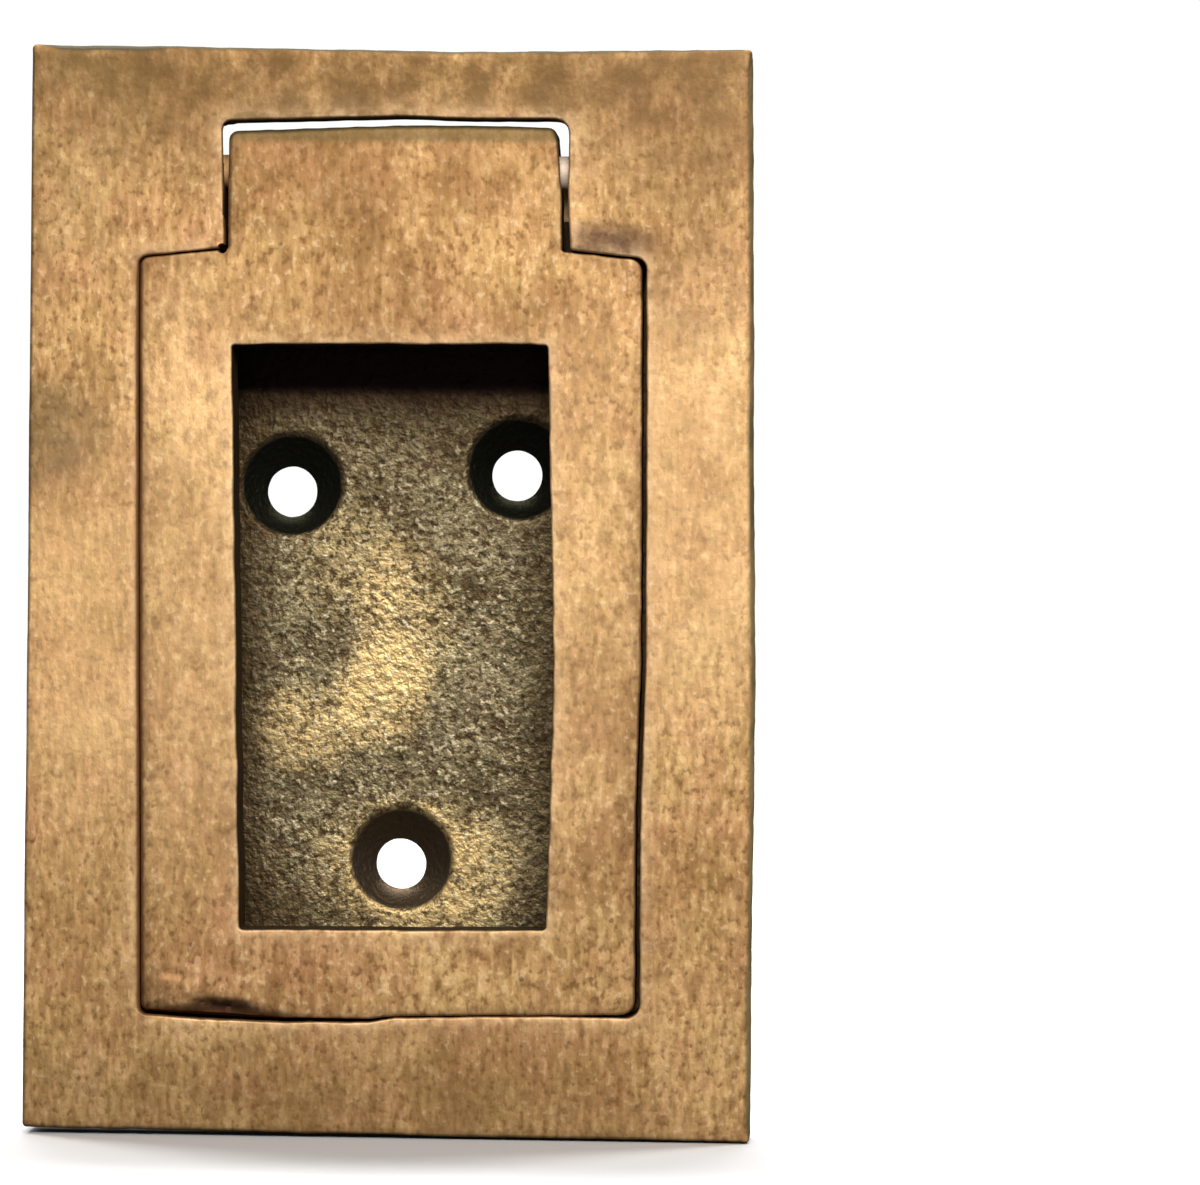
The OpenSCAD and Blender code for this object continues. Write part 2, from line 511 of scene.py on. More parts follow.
def finish_surface(made, material, **outlines):
    """Stores how near each point is to the outlines that the material tints, and smooths the shading."""
    points = points_of(made.data)
    for name, outline in outlines.items():
        near = np.exp(-distances(points[:, [0, 2]], outline[0]) / WEAR_REACH)
        stored = made.data.attributes.new(name, "FLOAT", "POINT")
        stored.data.foreach_set("value", near.astype(np.float32))
    made.data.shade_smooth()
    made.data.set_sharp_from_angle(angle=math.radians(38))
    made.data.materials.clear()
    made.data.materials.append(material)


# ---------------------------------------------------------------- surface relief


def sand(points):
    """The relief of sand-cast brass, from about -1 to 1."""
    coarse = noise(points, 2.6, seed=51)
    middle = noise(points, 1.1, seed=52)
    fine = noise(points, 0.55, seed=53)
    return 0.3 * coarse + 0.35 * middle + 0.6 * fine


def plate_relief(points):
    """How far each point of the plate stands out from its ideal surface."""
    across, y = np.abs(points[:, 0]), points[:, 1]
    face = smoothstep(FACE + 0.6, FACE + 0.1, y)
    floor = smoothstep(PAN_FLOOR - 1.5, PAN_FLOOR - 0.4, y) * smoothstep(PAN_FLOOR + 0.5, PAN_FLOOR + 0.1, y)
    floor *= across < PAN_HALF_W + 0.5
    ledge = smoothstep(0.3, 0.05, np.abs(y - LEDGE / 2)) * (across < LINE_RIGHT + 0.8)
    cast = 0.035 + 0.04 * floor
    wave = 0.05 * noise(points, (9, 30, 14), seed=61) + 0.012 * noise(points, (1.0, 9, 3.0), seed=62)
    return face * wave + (1 - face) * (1 - 0.75 * ledge) * cast * sand(points)


def handle_relief(points):
    """The same for the handle, with the casting flaw at its lower left edge."""
    y = points[:, 1]
    face = smoothstep(FACE + 0.6, FACE + 0.1, y)
    wave = 0.04 * noise(points, (8, 30, 12), seed=71) + 0.012 * noise(points, (1.0, 9, 3.0), seed=72)
    flaw = 0.5 * blob(points, (FLAW_X, FLAW_Z), (2.6, 0.45), tilt=-8)
    flaw += 0.45 * blob(points, (FLAW_X - 1.4, FLAW_Z - 0.9), (6.5, 0.5), tilt=-3)
    flaw += 0.1 * blob(points, (FLAW_X - 4.6, FLAW_Z + 2.8), (2.6, 0.22), tilt=-8)
    return face * (wave - flaw) + (1 - face) * 0.02 * sand(points)


# ---------------------------------------------------------------- the three pieces


def edge_radius(edge):
    """How far the face's outer edge is rounded over: most on the right and along the top."""
    across, up = edge[1].T
    radius = 0.32 + 0.06 * noise(deep(edge[0]), 5.0, seed=84)
    radius += 0.32 * smoothstep(0.9, 1.0, across) + 0.2 * smoothstep(0.9, 1.0, up)
    radius += 0.3 * smoothstep(0.9, 1.0, up) * smoothstep(-19.0, -22.0, edge[0][:, 0])
    to_corner = np.hypot(*(np.abs(edge[0]) - PLATE_HIGH[[0, 2]]).T)
    return np.minimum(radius, 0.16 + 0.25 * to_corner)


def lip_radius(recess):
    """How far the recess's lip is rounded over: more on the left, below the shoulder."""
    radius = 0.2 + 0.05 * noise(deep(recess[0]), 3.0, seed=85)
    on_left = smoothstep(-0.8, -1.0, recess[1][:, 0]) * smoothstep(28.5, 27.0, recess[0][:, 1])
    return radius + 0.2 * on_left


def plate_shell():
    """The plate's skin before the slot and the pin's hole are cut: its walls, then its flats."""
    shell = Shell()
    edge, recess = plate_outline(), recess_outline()
    block = box_outline(
        -BLOCK_HALF_W, BLOCK_HALF_W, BLOCK_BOTTOM, BLOCK_TOP,
        radius=1.5, spacing=0.8, amount=0.1, seed=81,
    )
    pan = box_outline(
        -PAN_HALF_W - PAN_WALL, PAN_HALF_W + PAN_WALL, PAN_BOTTOM - PAN_WALL, PAN_TOP + PAN_WALL,
        radius=3.0, spacing=0.8, amount=0.12, seed=82,
    )
    cavity = box_outline(
        -PAN_HALF_W, PAN_HALF_W, PAN_BOTTOM, PAN_TOP,
        radius=2.0, spacing=0.35, amount=0.12, seed=83,
    )

    outside = shell.rings(edge, wall(FACE, FLANGE_BACK, edge_radius(edge), 0.2, INWARD, INWARD, step=0.6))
    step = shell.rings(block, wall(FLANGE_BACK, BLOCK_BACK, 0.4, 0.6, OUTWARD, INWARD, step=0.7))
    tub = shell.rings(pan, wall(BLOCK_BACK, PAN_BACK, 0.7, 1.0, OUTWARD, INWARD, step=0.8, lean=-0.35))
    inside = shell.rings(cavity, wall(LEDGE, PAN_FLOOR, 0.35, 1.2, OUTWARD, INWARD, step=0.35, lean=-0.2))
    recess_rings = shell.rings(recess, wall(FACE, LEDGE, lip_radius(recess), 0.15, OUTWARD, INWARD, step=0.5))

    holes_behind, holes_in_floor = [], []
    for place in SCREW_HOLES:
        back_ring, floor_ring = countersunk_hole(shell, place[[0, 2]])
        holes_behind.append(back_ring)
        holes_in_floor.append(floor_ring)

    shell.fill(outside[0], [recess_rings[0]], spacing=0.5, seed=91)
    shell.fill(outside[-1], [step[0]], spacing=1.2, seed=92)
    shell.fill(step[-1], [tub[0]], spacing=1.0, seed=93)
    shell.fill(tub[-1], holes_behind, spacing=0.7, seed=94)
    shell.fill(inside[-1], holes_in_floor, spacing=0.26, seed=95)
    shell.fill(recess_rings[-1], [inside[0]], spacing=0.6, seed=96)
    return shell


def countersunk_hole(shell, centre):
    """One screw hole, from the back of the pan to the countersink's rim. Gives its two end rings."""
    count = 72
    throat = PAN_FLOOR + SINK_DEPTH
    path = [
        (PAN_BACK, HOLE_R + 0.12, 0.0), (PAN_BACK - 0.12, HOLE_R, 0.0),
        ((PAN_BACK + throat) / 2, HOLE_R, 0.0), (throat, HOLE_R, 0.0),
    ]
    for share in (0.06, 0.25, 0.5, 0.75, 0.94):
        path.append((throat - SINK_DEPTH * share, HOLE_R + (SINK_R - HOLE_R) * share, share))
    path.append((PAN_FLOOR, SINK_R + 0.12, 1.0))
    rings = []
    for y, radius, share in path:
        flat, _ = circle(centre + SINK_DRIFT * share, radius, count)
        rings.append(shell.add(deep(flat, y)))
    for a, b in zip(rings, rings[1:]):
        shell.join(a, b)
    return rings[0], rings[-1]


def slot_cutter():
    """What opens the top of the slot right through the plate."""
    shell = Shell()
    top = slot_top()
    low = PIN_AXIS[2] + 0.6
    corners = [(top[0][0], low, 0.2), (top[-1][0], low, 0.2), *reversed(top)]
    outline = filed(rounded(corners, 0.3), WANDER, PARTING_SEED)
    across, up = outline[1].T
    flare = SLOT_FLARE * smoothstep(-0.5, -1.0, across) + 0.2 * smoothstep(0.5, 1.0, up)
    rings = shell.rings(outline, [(-0.01, FACE + 0.6), (flare, FLANGE_BACK), (flare, 0.8)])
    shell.fill(rings[0], [], 2.0, seed=97)
    shell.fill(rings[-1], [], 2.0, seed=98)
    return solid("slot_cutter", shell)


def corner_pit():
    """The small pit in the corner where the slot meets the left shoulder. It bites into both pieces."""
    shell = Shell()
    path = [(0.12, FACE - 0.5), (0.0, FACE + 0.2), (-0.1, FACE + 2.4)]
    rings = shell.rings(circle(PIT, PIT_R, 28), path)
    shell.fill(rings[0], [], 1.0, seed=99)
    shell.fill(rings[-1], [], 1.0, seed=100)
    return solid("corner_pit", shell)


def make_plate(material):
    """The plate, with the slot, the groove behind it and the pin's hole cut through."""
    made = solid("cast_plate", plate_shell())
    push(made, plate_relief)
    y, z = PIN_AXIS[1], PIN_AXIS[2]
    groove = rod("groove", slot_top()[0][0] + 0.1, slot_top()[-1][0] - 0.1, y, z, GROOVE_R)
    pin_hole = rod("pin_hole", PIN_LOW[0], PIN_HIGH[0] + 3, y, z, PIN_R + 0.03)
    cut(made, groove, slot_cutter(), pin_hole, corner_pit())
    finish_surface(made, material, edge=recess_outline())
    return made


def make_handle(material):
    """The handle, bored across its tab for the pin."""
    shell = Shell()
    outer, window = handle_outline(), window_outline()
    tab_end = smoothstep(TAB_TOP - 1.2, TAB_TOP - 0.3, outer[0][:, 1])
    outer_r = 0.22 + 0.05 * noise(deep(outer[0]), 4.0, seed=101) + 0.4 * tab_end
    outer_r += 0.2 * smoothstep(-0.8, -1.0, outer[1][:, 0]) * (1 - tab_end)
    window_r = 0.2 + 0.08 * noise(deep(window[0]), 1.5, seed=102)
    outside = shell.rings(outer, wall(FACE, HANDLE_BACK, outer_r, 0.3, INWARD, INWARD, step=0.5))
    inside = shell.rings(window, wall(FACE, HANDLE_BACK, window_r, 0.4, OUTWARD, OUTWARD, step=0.4))
    shell.fill(outside[0], [inside[0]], spacing=0.42, seed=103)
    shell.fill(outside[-1], [inside[-1]], spacing=0.7, seed=104)
    made = solid("flush_handle", shell)
    push(made, handle_relief)
    bore = rod("bore", -BORE_REACH, BORE_REACH, PIN_AXIS[1], PIN_AXIS[2], PIN_R + BORE_CLEARANCE)
    cut(made, bore, corner_pit())
    finish_surface(made, material, edge=outer, window_edge=window)
    return made


def make_pin(material):
    """The pin, sawn off at one end and peened over a little at the other."""
    x0, x1, r = PIN_LOW[0] + 0.2, PIN_HIGH[0] - 0.6, PIN_R - 0.01
    path = [(x0, 0.8 * r), (x0 + 0.3, r)]
    path += [(x, r) for x in np.linspace(x0 + 1, x1 - 0.5, 60)]
    path += [(x1 - 0.15, r), (x1 + 0.05, 0.93 * r), (x1 + 0.16, 0.75 * r)]
    path += [(x1 + 0.2, 0.4 * r), (x1 + 0.2, 0.1 * r)]
    made = rod("plain_pin", x0, x1, PIN_AXIS[1], PIN_AXIS[2], r, count=40, path=path)
    push(made, lambda points: 0.008 * noise(points, 0.8, seed=111))
    finish_surface(made, material)
    return made


# ---------------------------------------------------------------- materials


class Nodes:
    """A short way to write a material's nodes. Sizes are in millimetres on the object."""

    def __init__(self, name):
        """A new material with no nodes but its object coordinates."""
        self.material = bpy.data.materials.new(name)
        self.material.use_nodes = True
        self.tree = self.material.node_tree
        self.tree.nodes.clear()
        self.place = self.add("ShaderNodeTexCoord").outputs["Object"]

    def add(self, kind, **settings):
        """A new node with those settings."""
        node = self.tree.nodes.new(kind)
        for name, value in settings.items():
            setattr(node, name, value)
        return node

    def put(self, socket, value):
        """Links a socket, or sets it where value is a plain number or colour."""
        if isinstance(value, bpy.types.NodeSocket):
            self.tree.links.new(value, socket)
        else:
            socket.default_value = value

    def scaled(self, size, shift):
        """The object's coordinates in units of that size, moved along."""
        sizes = size if isinstance(size, tuple) else (size, size, size)
        mapping = self.add("ShaderNodeMapping")
        self.put(mapping.inputs["Vector"], self.place)
        mapping.inputs["Location"].default_value = shift
        mapping.inputs["Scale"].default_value = tuple(1 / (s * MM) for s in sizes)
        return mapping.outputs[0]

    def noise(self, size, detail=2.0, rough=0.5, shift=0.0, bend=0.0):
        """Noise with lumps of that size, or (x, y, z) sizes."""
        node = self.add("ShaderNodeTexNoise")
        self.put(node.inputs["Vector"], self.scaled(size, (shift, shift * 1.7, shift * 0.6)))
        node.inputs["Scale"].default_value = 1.0
        node.inputs["Detail"].default_value = detail
        node.inputs["Roughness"].default_value = rough
        node.inputs["Distortion"].default_value = bend
        return node.outputs["Fac"]

    def cells(self, size, shift=0.0):
        """Distance to the nearest of scattered points that far apart."""
        node = self.add("ShaderNodeTexVoronoi")
        self.put(node.inputs["Vector"], self.scaled(size, (shift, 0.3 * shift, 2.1 * shift)))
        node.inputs["Scale"].default_value = 1.0
        return node.outputs["Distance"]

    def mark(self, name):
        """A value stored on the mesh: 1 on the outline of that name, falling to 0 away from it."""
        return self.add("ShaderNodeAttribute", attribute_name=name).outputs["Fac"]

    def range(self, value, low, high, start=0.0, end=1.0):
        """value from low to high becomes start to end, smoothly and no further."""
        node = self.add("ShaderNodeMapRange", interpolation_type="SMOOTHSTEP")
        self.put(node.inputs["Value"], value)
        for name, number in zip(("From Min", "From Max", "To Min", "To Max"), (low, high, start, end)):
            node.inputs[name].default_value = number
        return node.outputs["Result"]

    def math(self, operation, a, b=0.0):
        """A sum on two values."""
        node = self.add("ShaderNodeMath", operation=operation)
        self.put(node.inputs[0], a)
        self.put(node.inputs[1], b)
        return node.outputs[0]

    def all_of(self, *shares):
        """The product of shares: 1 only where all of them are 1."""
        total = shares[0]
        for share in shares[1:]:
            total = self.math("MULTIPLY", total, share)
        return total

    def opposite(self, share):
        """1 where a share is 0, and 0 where it is 1."""
        return self.math("SUBTRACT", 1.0, share)

    def mix(self, share, a, b):
        """Colour a where share is 0, b where it is 1."""
        node = self.add("ShaderNodeMix", data_type="RGBA")
        self.put(node.inputs["Factor"], share)
        self.put(node.inputs["A"], a)
        self.put(node.inputs["B"], b)
        return node.outputs["Result"]

    def axis(self, name):
        """One object coordinate in millimetres."""
        split = self.add("ShaderNodeSeparateXYZ")
        self.put(split.inputs[0], self.place)
        return self.math("DIVIDE", split.outputs[name], MM)

    def spot(self, x, z, wide, high):
        """A soft round patch on the face: 1 at (x, z), 0 outside that width and height."""
        dx = self.math("DIVIDE", self.math("SUBTRACT", self.axis("X"), x), wide)
        dz = self.math("DIVIDE", self.math("SUBTRACT", self.axis("Z"), z), high)
        away = self.math("ADD", self.math("MULTIPLY", dx, dx), self.math("MULTIPLY", dz, dz))
        return self.range(away, 0.0, 1.0, 1.0, 0.0)

    def finish(self, colour, metal, rough, heights):
        """The shader itself. heights are (height, millimetres) pairs for the bump."""
        shader = self.add("ShaderNodeBsdfPrincipled")
        self.put(shader.inputs["Base Color"], colour)
        self.put(shader.inputs["Metallic"], metal)
        self.put(shader.inputs["Roughness"], rough)
        # Tarnish keeps the edges from flaring white where they are seen aslant.
        self.put(shader.inputs["Specular Tint"], (0.35, 0.32, 0.28, 1.0))
        normal = None
        for height, depth in heights:
            bump = self.add("ShaderNodeBump")
            bump.inputs["Strength"].default_value = 1.0
            bump.inputs["Distance"].default_value = depth * MM
            self.put(bump.inputs["Height"], height)
            if normal is not None:
                self.put(bump.inputs["Normal"], normal)
            normal = bump.outputs["Normal"]
        self.put(shader.inputs["Normal"], normal)
        output = self.add("ShaderNodeOutputMaterial")
        self.put(output.inputs["Surface"], shader.outputs["BSDF"])
        return self.material


def rgb(red, green, blue):
    """A colour given as screen values from 0 to 255, as the linear colour a shader takes."""
    linear = [((c / 255 + 0.055) / 1.055) ** 2.4 if c > 10 else c / 255 / 12.92 for c in (red, green, blue)]
    return (*linear, 1.0)


def linished(nodes, shift):
    """Colour, roughness and bump of a face brushed up and down on a belt, then darkened with age."""
    strokes = nodes.noise((0.6, 2.0, 1.9), detail=2, rough=0.5, shift=shift)
    long_strokes = nodes.noise((0.9, 4.0, 7.0), detail=2, rough=0.5, shift=shift + 3)
    grit = nodes.noise((0.65, 0.7, 0.85), detail=2, rough=0.55, shift=shift + 5)
    patches = nodes.noise(11.0, detail=4, rough=0.6, shift=shift + 7, bend=0.4)
    blush = nodes.noise(6.0, detail=3, rough=0.6, shift=shift + 9, bend=0.3)
    pits = nodes.range(nodes.cells(2.4, shift), 0.04, 0.13, 1.0, 0.0)

    colour = nodes.mix(nodes.range(patches, 0.3, 0.7), rgb(184, 142, 92), rgb(216, 176, 118))
    colour = nodes.mix(nodes.range(blush, 0.45, 0.7, 0.0, 0.5), colour, rgb(206, 152, 110))
    colour = nodes.mix(nodes.range(blush, 0.5, 0.3, 0.0, 0.4), colour, rgb(186, 154, 94))
    colour = nodes.mix(nodes.range(strokes, 0.35, 0.6, 0.5, 0.0), colour, rgb(142, 102, 62))
    colour = nodes.mix(nodes.range(strokes, 0.55, 0.75, 0.0, 0.35), colour, rgb(240, 204, 156))
    colour = nodes.mix(nodes.range(long_strokes, 0.5, 0.75, 0.0, 0.3), colour, rgb(228, 190, 140))
    colour = nodes.mix(nodes.range(grit, 0.27, 0.5, 0.75, 0.0), colour, rgb(126, 88, 52))
    colour = nodes.mix(nodes.range(grit, 0.56, 0.73, 0.0, 0.45), colour, rgb(248, 218, 172))
    colour = nodes.mix(nodes.all_of(pits, 0.5), colour, rgb(80, 50, 28))
    rough = nodes.range(patches, 0.25, 0.75, 0.7, 0.6)
    heights = [(strokes, 0.02), (grit, 0.05)]
    return colour, rough, heights


def face_material(name, shift, spots):
    """A linished face whose edges and sides keep the dark skin of the casting."""
    nodes = Nodes(name)
    colour, rough, heights = linished(nodes, shift)
    cloud = nodes.range(nodes.noise(3.5, detail=4, rough=0.65, shift=shift + 13), 0.3, 0.7, 0.5, 1.2)
    colour = stains_and_painted_light(nodes, colour, spots, cloud)
    depth = nodes.math("SUBTRACT", nodes.axis("Y"), FACE)
    return nodes, colour, rough, heights, depth


def stains_and_painted_light(nodes, colour, spots, cloud):
    """Tints a colour with soft round spots, each broken up by the cloud. Some spots are stains, others
    painted sheen or painted shade.
    """
    for x, z, wide, high, strength, tint in spots:
        share = nodes.all_of(nodes.spot(x, z, wide, high), strength)
        colour = nodes.mix(nodes.all_of(share, cloud), colour, tint)
    return colour


def smudged_left(nodes, colour):
    """The brown dirt worked into the left side of the parting line."""
    near = nodes.range(nodes.mark("edge"), 0.4, 0.95)
    on_left = nodes.range(nodes.axis("X"), LINE_LEFT + 3.0, LINE_LEFT + 1.0)
    return nodes.mix(nodes.all_of(near, on_left, 0.8), colour, rgb(132, 92, 56))


def edge_tint(nodes, colour, mark, strength, tint, shift):
    """Tints a face along one of its edges, more in some places than others."""
    ragged = nodes.noise(1.2, detail=3, shift=shift)
    amount = nodes.range(ragged, 0.35, 0.65, 0.3 * strength, strength)
    return nodes.mix(nodes.all_of(nodes.mark(mark), amount), colour, tint)


# Soft patches on the plate's face: x, z, half width, half height, strength and colour. The two light ones at
# mid height are painted sheen; the dark ones along the top, the bottom and the upper sides are painted shade
# with tarnish; the small dark one beside the right shoulder is a smudge.
PLATE_STAINS_AND_PAINTED_LIGHT = [
    (27.0, 8.0, 9.0, 26.0, 0.45, rgb(250, 212, 156)),
    (-27.0, -4.0, 7.5, 24.0, 0.45, rgb(250, 208, 150)),
    (-31.0, 13.5, 8.0, 6.5, 0.6, rgb(112, 90, 62)),
    (26.5, 27.0, 6.0, 7.0, 0.4, rgb(128, 100, 66)),
    (18.6, 30.6, 6.0, 2.6, 1.0, rgb(92, 62, 46)),
    (0.0, 49.0, 54.0, 17.0, 0.95, rgb(122, 92, 56)),
    (28.0, 44.0, 18.0, 18.0, 0.5, rgb(126, 96, 64)),
    (-32.0, 42.0, 14.0, 20.0, 0.5, rgb(120, 94, 58)),
    (-8.0, -50.0, 46.0, 15.0, 0.6, rgb(126, 94, 54)),
]
# The same for the handle, where the light patches down both rails are painted sheen and the dark ones over
# the tab and the bar above the window are painted shade with tarnish; and for the stain over the casting
# flaw.
HANDLE_STAINS_AND_PAINTED_LIGHT = [
    (18.0, 2.0, 6.0, 34.0, 0.25, rgb(244, 204, 150)),
    (-17.5, 2.0, 7.0, 36.0, 0.4, rgb(244, 204, 150)),
    (0.0, 42.0, 26.0, 16.0, 0.5, rgb(148, 110, 66)),
    (0.0, 24.5, 24.0, 6.0, 0.35, rgb(150, 108, 68)),
]
FLAW_STAINS = [
    (FLAW_X + 0.2, FLAW_Z, 4.2, 0.95, 1.05, rgb(56, 36, 25)),
    (FLAW_X - 0.9, FLAW_Z - 0.9, 9.5, 1.1, 1.05, rgb(74, 48, 30)),
    (FLAW_X - 5.9, FLAW_Z + 0.8, 2.6, 2.6, 0.5, rgb(98, 66, 44)),
]
# Where fingers have worn the pan's floor bright: x, z, half width, half height and strength.
PAN_WEAR = [
    (0.8, -2.0, 6.0, 9.0, 0.6),
    (-1.6, -9.0, 5.5, 6.5, 1.1),
    (-9.0, -12.5, 7.0, 5.5, 0.8),
    (-4.5, 3.0, 7.5, 8.5, 0.45),
    (2.0, -25.0, 13.0, 9.0, 0.95),
]


def wear(nodes, patina):
    """How far the pan's floor is worn bright."""
    worn = 0.0
    for x, z, wide, high, strength in PAN_WEAR:
        worn = nodes.math("ADD", nodes.all_of(nodes.spot(x, z, wide, high), strength), worn)
    return nodes.all_of(worn, nodes.range(patina, 0.3, 0.6, 0.6, 1.0))


def pan_colour(nodes, patina, grains, lumps, across, up, painted_shadow_band):
    """The pan: dark sand-cast grain worn to gold in the middle, with painted glints, and painted shade that
    blackens it towards its sides, its top and its lower corners and lays a shadow band under the handle's top
    bar.
    """
    worn = wear(nodes, patina)
    colour = nodes.mix(nodes.range(patina, 0.35, 0.62), rgb(60, 60, 46), rgb(132, 124, 94))
    colour = nodes.mix(nodes.range(worn, 0.0, 1.2, 0.0, 0.85), colour, rgb(240, 206, 140))
    hollows = nodes.range(grains, 0.52, 0.38, 0.0, 0.9)
    hollows = nodes.math("SUBTRACT", hollows, nodes.range(worn, 0.3, 1.2, 0.0, 0.35))
    colour = nodes.mix(hollows, colour, rgb(18, 17, 12))
    # Painted glints: bright specks on the grain stand in for light catching it.
    painted_glints = nodes.range(lumps, 0.56, 0.7)
    colour = nodes.mix(nodes.all_of(painted_glints, 0.45), colour, rgb(220, 208, 172))
    # Painted shade: the pan darkens towards its side walls, towards its top under the handle's top bar, and
    # into its lower corners.
    colour = nodes.mix(nodes.range(across, 9.0, 14.5, 0.0, 0.82), colour, rgb(40, 33, 20))
    colour = nodes.mix(nodes.range(up, 2.0, 24.0, 0.0, 0.92), colour, rgb(30, 24, 15))
    off_middle = nodes.math("ABSOLUTE", nodes.math("SUBTRACT", nodes.axis("X"), 3.0))
    corner = nodes.all_of(nodes.range(up, -20.0, -30.0), nodes.range(off_middle, 6.5, 13.0))
    colour = nodes.mix(nodes.all_of(corner, 0.85), colour, rgb(24, 20, 13))
    # Painted shadow of the handle's top bar: a dark band across the top of the pan.
    return nodes.mix(painted_shadow_band, colour, rgb(50, 36, 32))


def rim_share(nodes, across, up):
    """1 on the outer sides of the face plate, 0 further in."""
    rim_x = nodes.range(across, PLATE_HIGH[0] - 1.6, PLATE_HIGH[0] - 1.0)
    rim_z = nodes.range(nodes.math("ABSOLUTE", up), PLATE_HIGH[2] - 1.8, PLATE_HIGH[2] - 1.2)
    return nodes.math("MAXIMUM", rim_x, rim_z)


def slot_share(nodes, across, up, depth):
    """1 on the sides of the slot, behind the face's edge."""
    return nodes.all_of(
        nodes.range(up, SHOULDER - 1.0, SHOULDER),
        nodes.range(up, SLOT_TOP + 0.5, SLOT_TOP + 0.2),
        nodes.range(across, SLOT_RIGHT + 0.9, SLOT_RIGHT + 0.3),
        nodes.range(depth, 1.2, 2.0),
        nodes.range(depth, BLOCK_BACK - FACE - 0.4, BLOCK_BACK - FACE - 0.8),
    )


def cavity_share(nodes, across, up, depth):
    """1 inside the pan and its screw holes, 0 on the casting's back."""
    return nodes.all_of(
        nodes.range(across, PAN_HALF_W + 0.9, PAN_HALF_W + 0.4),
        nodes.range(depth, PAN_BACK - FACE - 0.1, PAN_BACK - FACE - 0.25),
        nodes.range(up, PAN_TOP + 0.9, PAN_TOP + 0.4),
        nodes.range(up, PAN_BOTTOM - 0.9, PAN_BOTTOM - 0.4),
    )


def side_colour(nodes, patina, depth, rim, in_slot):
    """The plate's edges: brown in the recess, painted shade that makes the slot black, and a dark or olive
    skin outside.
    """
    lip = nodes.mix(nodes.range(depth, 0.4, 1.6), rgb(168, 122, 76), rgb(72, 52, 32))
    right = nodes.range(nodes.axis("X"), PLATE_HIGH[0] - 1.4, PLATE_HIGH[0] - 0.8)
    olive = nodes.mix(nodes.range(patina, 0.35, 0.65), rgb(104, 92, 58), rgb(146, 124, 84))
    colour = nodes.mix(rim, lip, nodes.mix(right, rgb(66, 58, 38), olive))
    # Painted shade: the slot's sides are coloured near black.
    return nodes.mix(in_slot, colour, rgb(24, 18, 12))


def plate_material():
    """The plate: a brushed face with painted sheen and shade, a dark granular pan worn to gold in the middle
    with painted glints and shade, and a cast back.
    """
    nodes, colour, rough, heights, depth = face_material("aged_cast_brass", 1.0, PLATE_STAINS_AND_PAINTED_LIGHT)
    # Painted highlight along the lip of the recess.
    colour = edge_tint(nodes, colour, "edge", 0.8, rgb(236, 200, 154), 31)
    colour = smudged_left(nodes, colour)

    patina = nodes.noise(6.0, detail=4, rough=0.6, shift=21)
    grains = nodes.noise(0.62, detail=2, rough=0.7, shift=23)
    lumps = nodes.noise(0.44, detail=1, rough=0.3, shift=25)
    across, up = nodes.math("ABSOLUTE", nodes.axis("X")), nodes.axis("Z")
    floor = PAN_FLOOR - FACE
    in_pan = nodes.range(depth, floor - 5.5, floor - 1.5)
    sunk = nodes.range(depth, floor + 0.12, floor + 0.4)
    # Where the painted shadow band lies at the top of the pan.
    painted_shadow_band = nodes.range(up, 15.0, 18.5)
    rim = rim_share(nodes, across, up)
    in_slot = slot_share(nodes, across, up, depth)

    skin = side_colour(nodes, patina, depth, rim, in_slot)
    skin = nodes.mix(in_pan, skin, pan_colour(nodes, patina, grains, lumps, across, up, painted_shadow_band))
    # Painted shade: the countersinks are coloured dark, the two upper ones darker than the bottom one.
    painted_sink_shade = nodes.mix(nodes.range(up, -16.0, 0.0), rgb(98, 84, 67), rgb(48, 48, 39))
    skin = nodes.mix(sunk, skin, painted_sink_shade)
    # A little of the face's colour shows through the skin, but not in the countersinks and the band at the
    # pan's top, which carry painted shade.
    sides = nodes.all_of(nodes.range(depth, 0.03, 0.2), nodes.range(rim, 0, 1, 0.85, 1.0))
    painted_shade_areas = nodes.math("MAXIMUM", sunk, nodes.all_of(painted_shadow_band, in_pan))
    sides = nodes.math("MAXIMUM", sides, painted_shade_areas)
    colour = nodes.mix(sides, colour, skin)

    back = nodes.mix(nodes.range(patina, 0.35, 0.65), rgb(126, 96, 60), rgb(176, 140, 94))
    back = nodes.mix(nodes.range(grains, 0.5, 0.36, 0.0, 0.5), back, rgb(60, 44, 28))
    behind = nodes.all_of(
        nodes.range(depth, FLANGE_BACK - FACE - 0.3, FLANGE_BACK - FACE - 0.05),
        nodes.opposite(cavity_share(nodes, across, up, depth)),
        nodes.opposite(in_slot),
    )
    colour = nodes.mix(behind, colour, back)

    metal = nodes.math("ADD", nodes.range(sides, 0, 1, 0.95, 0.86), nodes.all_of(sunk, 0.1))
    metal = nodes.math("SUBTRACT", metal, nodes.all_of(rim, sides, 0.5))
    rough = nodes.math("SUBTRACT", rough, nodes.all_of(in_pan, 0.1))
    heights.append((nodes.all_of(grains, in_pan), 0.14))
    heights.append((nodes.all_of(lumps, in_pan), 0.08))
    return nodes.finish(colour, metal, rough, heights)


